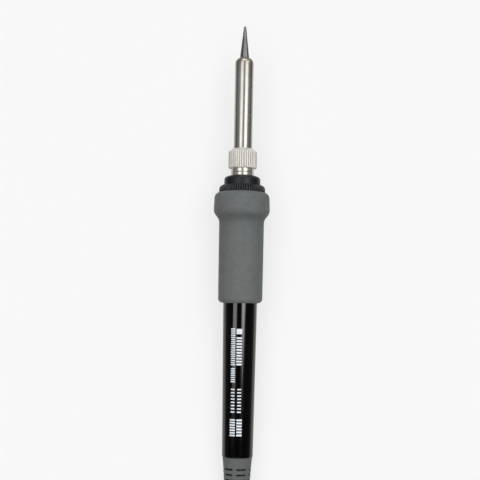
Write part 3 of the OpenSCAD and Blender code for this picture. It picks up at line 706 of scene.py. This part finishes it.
# Sleeve: polished stainless tube with a round nose and, inside the nut, its flange
sleeve = {
    "rear": 160.4, "flange": 0.6, "flangeR": 4.85, "outR": 4.05, "wall": 0.4, "relief": 0.2, "full": 162.3,
    "nose": 200.243, "noseR": 2.6, "mouthR": 2.3, "sides": 144, "longest": 1.2,
    "bright": (0.66, 0.64, 0.59), "dull": (0.62, 0.60, 0.545), "rough": 0.17,
    "straw": (0.50, 0.43, 0.33), "heat": (196, 211), "flux": (0.07, 0.058, 0.05), "burnt": (201.6, 202.7)}


def makeSleeve():
    s = sleeve
    centre = s["outR"] - s["noseR"]
    outerTurn = math.degrees(math.acos((s["mouthR"] - centre) / s["noseR"]))
    innerTurn = math.degrees(math.acos((s["mouthR"] - centre) / (s["noseR"] - s["wall"])))
    inner, flangeFront = s["outR"] - s["wall"], s["rear"] + s["flange"]
    corners = [
        (inner - s["relief"], s["rear"], 0.1), (s["flangeR"], s["rear"], 0.12),
        (s["flangeR"], flangeFront, 0.12), (s["outR"] - s["relief"], flangeFront, 0.1),
        (s["outR"] - s["relief"], s["full"] - 0.05, 0.05),
        (s["outR"], s["full"] + 0.05, 0.05)]
    corners += arcCorners(centre, s["nose"], s["noseR"], 0, outerTurn - 1.5, 20)
    corners += arcCorners(centre, s["nose"], s["noseR"] - s["wall"], innerTurn - 1.5, 0, 14)
    corners += [(inner, s["full"] + 0.15, 0.05), (inner - s["relief"], s["full"] + 0.05, 0.05)]

    def tint(paint, spot, base):
        station = paint.station(spot)
        heat = paint.ease(station + 9 * paint.grain(spot, 130, 3), *s["heat"])
        warm = paint.blend(heat * 0.6, base, s["straw"])
        burnt = paint.ease(station, *s["burnt"])  # flux burnt on round the mouth
        return paint.blend(burnt * 0.8, warm, s["flux"])

    paint = metalPaint("sleeveStainless", s["bright"], s["dull"], s["rough"], 0.02, tint, 1.0, 0.05)
    piece = spin("sleeveTube", spreadRows(soften(corners), s["longest"]), s["sides"])
    finishPiece(piece, "sleeve", ["tip_enclosure"], paint)


makeSleeve()

# Tip: plated copper barrel with a blind bore, rounded shoulder, cone, and a tinned point
tip = {
    "rear": 174.5, "barrelR": 3.25, "boreR": 2.03, "boreEnd": 200.7, "seatR": 2.1, "seat": 200.243,
    "seatCentre": 1.45, "mouth": 202.7, "coneTop": 216.5, "pointR": 0.5, "halfAngle": 6.74, "tinned": 212.8,
    "sides": 96, "longest": 0.35, "iron": (0.32, 0.32, 0.32), "ironDull": (0.25, 0.25, 0.25),
    "tin": (0.40, 0.375, 0.32), "tinDull": (0.31, 0.285, 0.235)}


def makeTip():
    t = tip
    slope = math.tan(math.radians(t["halfAngle"]))
    coneR = t["pointR"] + (t["coneTop"] - t["mouth"]) * slope
    seatFrom = math.degrees(math.acos((t["barrelR"] - t["seatCentre"]) / t["seatR"]))
    seatTo = math.degrees(math.acos((coneR - t["seatCentre"]) / t["seatR"]))
    corners = [
        (0, t["boreEnd"] - 0.3, 0), (t["boreR"] * 0.6, t["boreEnd"] - 0.1, 0),
        (t["boreR"], t["boreEnd"] - 0.5, 0.2),
        (t["boreR"], t["rear"], 0.15), (t["barrelR"], t["rear"], 0.25)]
    corners += arcCorners(t["seatCentre"], t["seat"], t["seatR"], seatFrom, seatTo, 12)
    corners += arcCorners(0, t["coneTop"], t["pointR"], t["halfAngle"], 82, 8)
    corners += [(0, t["coneTop"] + t["pointR"], 0)]
    rows = spreadRows(soften(corners, closed=False), t["longest"], closed=False)

    def shape(angle, radius, station, outR, outZ):
        # a thin skin of solder: slightly lumpy, none behind its edge, and never past the point
        edge = t["tinned"] + 0.25 * np.sin(angle * 2 + 1) + 0.15 * np.sin(angle * 3)
        skin = np.clip((station - edge) / 0.5, 0, 1) * np.clip((t["coneTop"] - station) / 0.4, 0, 1)
        lumps = 0.035 + 0.02 * np.sin(station * 2.3 + 2 * np.sin(angle)) + 0.012 * np.sin(angle * 3 + station)
        return radius + skin * lumps * (radius > 0), station

    paint = Paint("tipPlating", Metallic=1.0)
    spot = paint.place()
    rings = paint.grain(spot, 1, 3, 0.6, (90, 90, 9000))
    cloud = paint.grain(spot, 420, 4, 0.6)
    wander = paint.grain(spot, 350, 2)
    tinned = paint.ease(paint.station(spot) + 1.2 * wander, t["tinned"] - 0.6, t["tinned"] + 2.2)
    iron = paint.blend(paint.ease(cloud, 0.3, 0.7), t["iron"], t["ironDull"])
    tin = paint.blend(paint.ease(cloud, 0.35, 0.65), t["tin"], t["tinDull"])
    paint.feed("Base Color", paint.blend(tinned, iron, tin))
    paint.feed("Roughness", 0.18 + 0.07 * rings + 0.05 * cloud + tinned * 0.14)
    paint.bump(rings * (1 - tinned) * 0.3 + cloud * tinned, 0.02, 0.5)
    piece = spin("tipCone", rows, t["sides"], closed=False, shape=shape)
    finishPiece(piece, "tip", ["soldering_tip"], paint)


makeTip()


# Inside pieces: the CAD shapes stay and get their own finishes
inside = {
    "heater": ((0.80, 0.77, 0.71), (0.70, 0.66, 0.59)), "flange": ((0.82, 0.81, 0.77), (0.74, 0.72, 0.68)),
    "track": (0.36, 0.34, 0.33), "scorch": (0.55, 0.45, 0.34),
    "red": (0.42, 0.03, 0.02), "blue": (0.02, 0.07, 0.36),
    "spring": ((0.72, 0.70, 0.66), (0.50, 0.48, 0.45)), "tinned": ((0.82, 0.80, 0.76), (0.64, 0.61, 0.56)),
    "sleeving": ((0.62, 0.55, 0.42), (0.88, 0.84, 0.74)), "nylon": ((0.13, 0.13, 0.135), (0.18, 0.18, 0.185)),
    "glass": ((0.50, 0.44, 0.25), (0.62, 0.56, 0.36)), "mask": ((0.010, 0.085, 0.035), (0.03, 0.19, 0.07)),
    "strand": 9000, "slant": 0.9, "lane": 0.85, "boardFace": (0.485, 0.495)}
def coverNode(node, paint):
    piece = frame["nodes"][node]
    piece.data.materials.clear()
    piece.data.materials.append(paint.material)


def ceramicPaint(name, base, darker, printed):
    paint = Paint(name, IOR=1.6)
    spot = paint.place()
    cloud = paint.grain(spot, 400, 4, 0.6)
    colour = paint.blend(paint.ease(cloud, 0.3, 0.7), base, darker)
    if printed:  # the buried heater track shows through as faint lines near the front end
        track = paint.node("TexWave", {"wave_type": "BANDS", "bands_direction": "Z"}, {
            "Vector": spot, "Scale": 260, "Distortion": 0.6, "Detail": 1.0}, out=1)
        station = paint.station(spot)
        front = paint.ease(station, 178, 182) * paint.ease(station, 197, 198.5, 1, 0)
        colour = paint.blend(paint.ease(track, 0.62, 0.8) * front * 0.35, colour, inside["track"])
        scorch = paint.ease(station + 6 * cloud, 176, 204)
        colour = paint.blend(scorch * 0.4, colour, inside["scorch"])
    paint.feed("Base Color", colour)
    paint.feed("Roughness", 0.42 + 0.2 * cloud)
    paint.bump(cloud, 0.01, 0.5)
    return paint


def wirePaint(name, bright, dull):
    paint = Paint(name, Metallic=1.0)
    spot = paint.place()
    cloud = paint.grain(spot, 900, 3, 0.6)
    paint.feed("Base Color", paint.blend(paint.ease(cloud, 0.3, 0.7), bright, dull))
    paint.feed("Roughness", 0.22 + 0.2 * cloud)
    paint.bump(cloud, 0.005, 0.5)
    return paint


def insulationPaint(name, tone):
    paint = Paint(name)
    spot = paint.place()
    cloud = paint.grain(spot, 700, 3)
    paint.feed("Base Color", paint.blend(paint.ease(cloud, 0.3, 0.7), tone, tuple(c * 0.7 for c in tone)))
    paint.feed("Roughness", 0.4 + 0.2 * cloud)
    paint.bump(cloud, 0.008, 0.4)
    return paint


def wovenPaint():
    paint = Paint("glassSleeving", Sheen_Weight=0.2)
    spot = paint.place()
    x, _, length = paint.parts(spot)
    lean = x * inside["slant"]
    slant = paint.node("Math", {"operation": "SINE"}, {0: (length + lean) * inside["strand"]})
    counter = paint.node("Math", {"operation": "SINE"}, {0: (length - lean) * inside["strand"]})
    weave = 0.5 + 0.25 * (slant + counter)
    paint.feed("Base Color", paint.blend(paint.ease(weave, 0.2, 0.8), *inside["sleeving"]))
    paint.feed("Roughness", 0.85 - 0.1 * weave)
    paint.bump(weave, 0.05, 0.8)
    return paint


def boardPaint():
    paint = Paint("boardLaminate")
    spot = paint.place()
    x, y, _ = paint.parts(spot)
    face = paint.ease(paint.node("Math", {"operation": "ABSOLUTE"}, {0: y * inMm}), *inside["boardFace"])
    lanes = paint.node("Math", {"operation": "PINGPONG"}, {0: x * inMm + inside["lane"], 1: inside["lane"]})
    track = paint.ease(lanes, 0.55, 0.62) * face
    glass = paint.grain(spot, 2600, 2)
    fibre = paint.blend(glass, *inside["glass"])
    mask = paint.blend(track * 0.55, *inside["mask"])
    paint.feed("Base Color", paint.blend(face, fibre, mask))
    paint.feed("Roughness", 0.65 - 0.35 * face + 0.1 * glass)
    paint.bump(track + 0.2 * glass, 0.03, 0.6)
    return paint


def stopperPaint():
    paint = Paint("stopperNylon")
    spot = paint.place()
    cloud = paint.grain(spot, 350, 4, 0.6)
    spark = paint.grain(spot, 2400, 2)
    paint.feed("Base Color", paint.blend(paint.ease(cloud, 0.3, 0.7), *inside["nylon"]))
    paint.feed("Roughness", 0.45 + 0.2 * spark)
    paint.bump(spark, 0.015, 0.5)
    return paint


def coverInside():
    coverNode("heater_rod", ceramicPaint("heaterCeramic", *inside["heater"], True))
    coverNode("heater_flange", ceramicPaint("flangeCeramic", *inside["flange"], False))
    leads = {"heater_lead": ("heaterLeadRed", "red"), "sensor_lead": ("sensorLeadBlue", "blue")}
    for lead, (name, tone) in leads.items():
        paint = insulationPaint(name, inside[tone])
        coverNode(lead + "_1", paint)
        coverNode(lead + "_2", paint)
    coverNode("lead_sleeves", wovenPaint())
    springSteel = wirePaint("springSteel", *inside["spring"])
    coverNode("grounding_spring", springSteel)
    coverNode("ground_lead", springSteel)
    coverNode("terminal_board", boardPaint())
    coverNode("board_terminals", wirePaint("boardTin", *inside["tinned"]))
    coverNode("cord_stopper", stopperPaint())
    print("inside pieces painted")


coverInside()

# Stage: a plain pale floor, a soft overhead fill, and a dim room with six soft windows of light
stage = {
    "floorSize": 8.0, "floorTone": (0.26, 0.26, 0.26), "paper": 1.01, "shade": (0.04, 0.04, 0.04),
    "floorGlow": 0.668, "nearGlow": 0.42, "farGlow": 0.02, "near": (0.02, 0.055), "backdrop": 0.93,
    "roomLow": 0.035, "roomHigh": 0.01, "least": 1.0, "close": 8,
    "fillStation": 110, "fillHeight": 1.3, "fillSide": -150, "fillSize": 2.6, "fill": 0.74,
    # each window, in degrees: its left and right edges and how far they lean per degree towards the tip, both
    # taken at its level; where it begins and ends towards the tip; how pointed its foot is and round which side;
    # how bright it is, how that changes per degree over the level, and how soft its edges are
    "plain": {"leftLean": 0.0, "rightLean": 0.0, "level": 0.0, "foot": 0.0, "middle": 0.0, "rise": 0.0},
    "windows": [
        {"left": -46.5, "leftLean": 0.5, "right": -21.9, "rightLean": 0.82, "level": -2.9,
         "begin": -7.0, "end": 40.0, "bright": 2.5, "rise": -0.085, "soft": 2.0},
        {"left": 11.5, "leftLean": 0.24, "right": 33.7, "rightLean": 1.15, "level": -2.9,
         "begin": -6.6, "end": 40.0, "foot": 0.27, "middle": 24.0, "bright": 4.6, "rise": -0.22, "soft": 2.0},
        {"left": -40.0, "right": 40.0, "level": -50.0, "begin": -72.0, "end": -30.0, "bright": 1.0, "soft": 8.0},
        {"left": -76.0, "leftLean": 7.4, "right": -40.0, "rightLean": 0.5, "level": 9.5,
         "begin": 8.5, "end": 22.0, "bright": 1.1, "soft": 4.0},
        {"left": -110.0, "right": 110.0, "begin": 4.5, "end": 60.0, "bright": 0.2, "soft": 3.0},
        {"left": -50.0, "right": 50.0, "begin": 45.0, "end": 78.0, "bright": 1.6, "soft": 6.0}]}


class Room(Paint):
    # the world's own node tree, built like a material
    def __init__(self, name):
        world = bpy.data.worlds.new(name)
        world.use_nodes = True
        bpy.context.scene.world = world
        self.tree = world.node_tree
        self.shader = self.tree.nodes["Background"]
        self.shader.inputs["Color"].default_value = (1, 1, 1, 1)

    def towards(self, axis):  # how much of the direction looked in lies along an axis
        return self.node("VectorMath", {"operation": "DOT_PRODUCT"}, {
            0: self.node("TexCoord", out="Generated"), 1: tuple(axis)}, out="Value")


def makeRoom():
    room = Room("room")
    degree = math.degrees(1)
    side = room.node("Math", {"operation": "ARCTAN2"}, {
        0: room.towards((1, 0, 0)), 1: room.towards(ironUp)}) * degree
    ahead = room.node("Math", {"operation": "ARCSINE"}, {0: room.towards(ironAxis)}) * degree
    light = room.ease(room.towards((0, 0, 1)), 0.15, 0.75, stage["roomLow"], stage["roomHigh"])
    for given in stage["windows"]:
        window = {**stage["plain"], **given}
        soft, over, close = window["soft"], ahead - window["level"], stage["close"]
        foot = room.node("Math", {"operation": "ABSOLUTE"}, {0: side - window["middle"]}) * window["foot"]
        left, right = side - window["leftLean"] * over, side - window["rightLean"] * over
        share = room.ease(left, window["left"] - soft, window["left"] + soft)
        share = share * room.ease(right, window["right"] - soft, window["right"] + soft, 1, 0)
        share = share * room.ease(ahead - foot, window["begin"], window["begin"] + 1.5 * soft)
        share = share * room.ease(ahead, window["end"] - close, window["end"] + close, 1, 0)
        bright = window["bright"] + window["rise"] * over
        if window["rise"]:
            bright = room.node("Math", {"operation": "MAXIMUM"}, {0: bright, 1: stage["least"]})
        light = light + share * bright
    seen = room.node("LightPath", out="Is Camera Ray")
    room.feed("Strength", light * (1 - seen) + seen * stage["backdrop"])


def makeStage():
    size = stage["floorSize"] / 2
    corners = [(-size, -size, 0), (size, -size, 0), (size, size, 0), (-size, size, 0)]
    mesh = bpy.data.meshes.new("floor")
    mesh.from_pydata(corners, [], [(0, 1, 2, 3)])
    floor = bpy.data.objects.new("floor", mesh)
    bpy.context.scene.collection.objects.link(floor)
    paint = Paint("floorPale", Roughness=0.9, Specular_IOR_Level=0.2, Emission_Strength=stage["floorGlow"])
    seen = paint.node("LightPath", out="Is Camera Ray")  # in reflections the floor falls off away from the iron
    across = paint.parts(paint.node("TexCoord", out="Object"))[0]
    away = paint.ease(paint.node("Math", {"operation": "ABSOLUTE"}, {0: across}), *stage["near"])
    near, far = stage["nearGlow"] / stage["floorGlow"], stage["farGlow"] / stage["floorGlow"]
    glow = paint.blend(away, (near, near, near), (far, far, far))
    paint.feed("Emission Color", paint.blend(seen, glow, (1, 1, 1)))
    paper = paint.grain(paint.place(), 300, 2)
    tone = paint.blend(paper, stage["floorTone"], tuple(c * stage["paper"] for c in stage["floorTone"]))
    paint.feed("Base Color", paint.blend(away * (1 - seen), tone, stage["shade"]))
    floor.data.materials.append(paint.material)
    lamp = bpy.data.objects.new("fill", bpy.data.lights.new("fill", "AREA"))
    bpy.context.scene.collection.objects.link(lamp)
    lamp.data.size = stage["fillSize"]
    lamp.data.energy = stage["fill"] * math.pi * stage["fillSize"] ** 2
    lamp.location = along(stage["fillStation"], stage["fillHeight"] / mm, stage["fillSide"])
    lamp.visible_glossy = False
    bpy.context.scene.view_settings.view_transform = "Standard"
    print("stage set")


makeRoom()
makeStage()
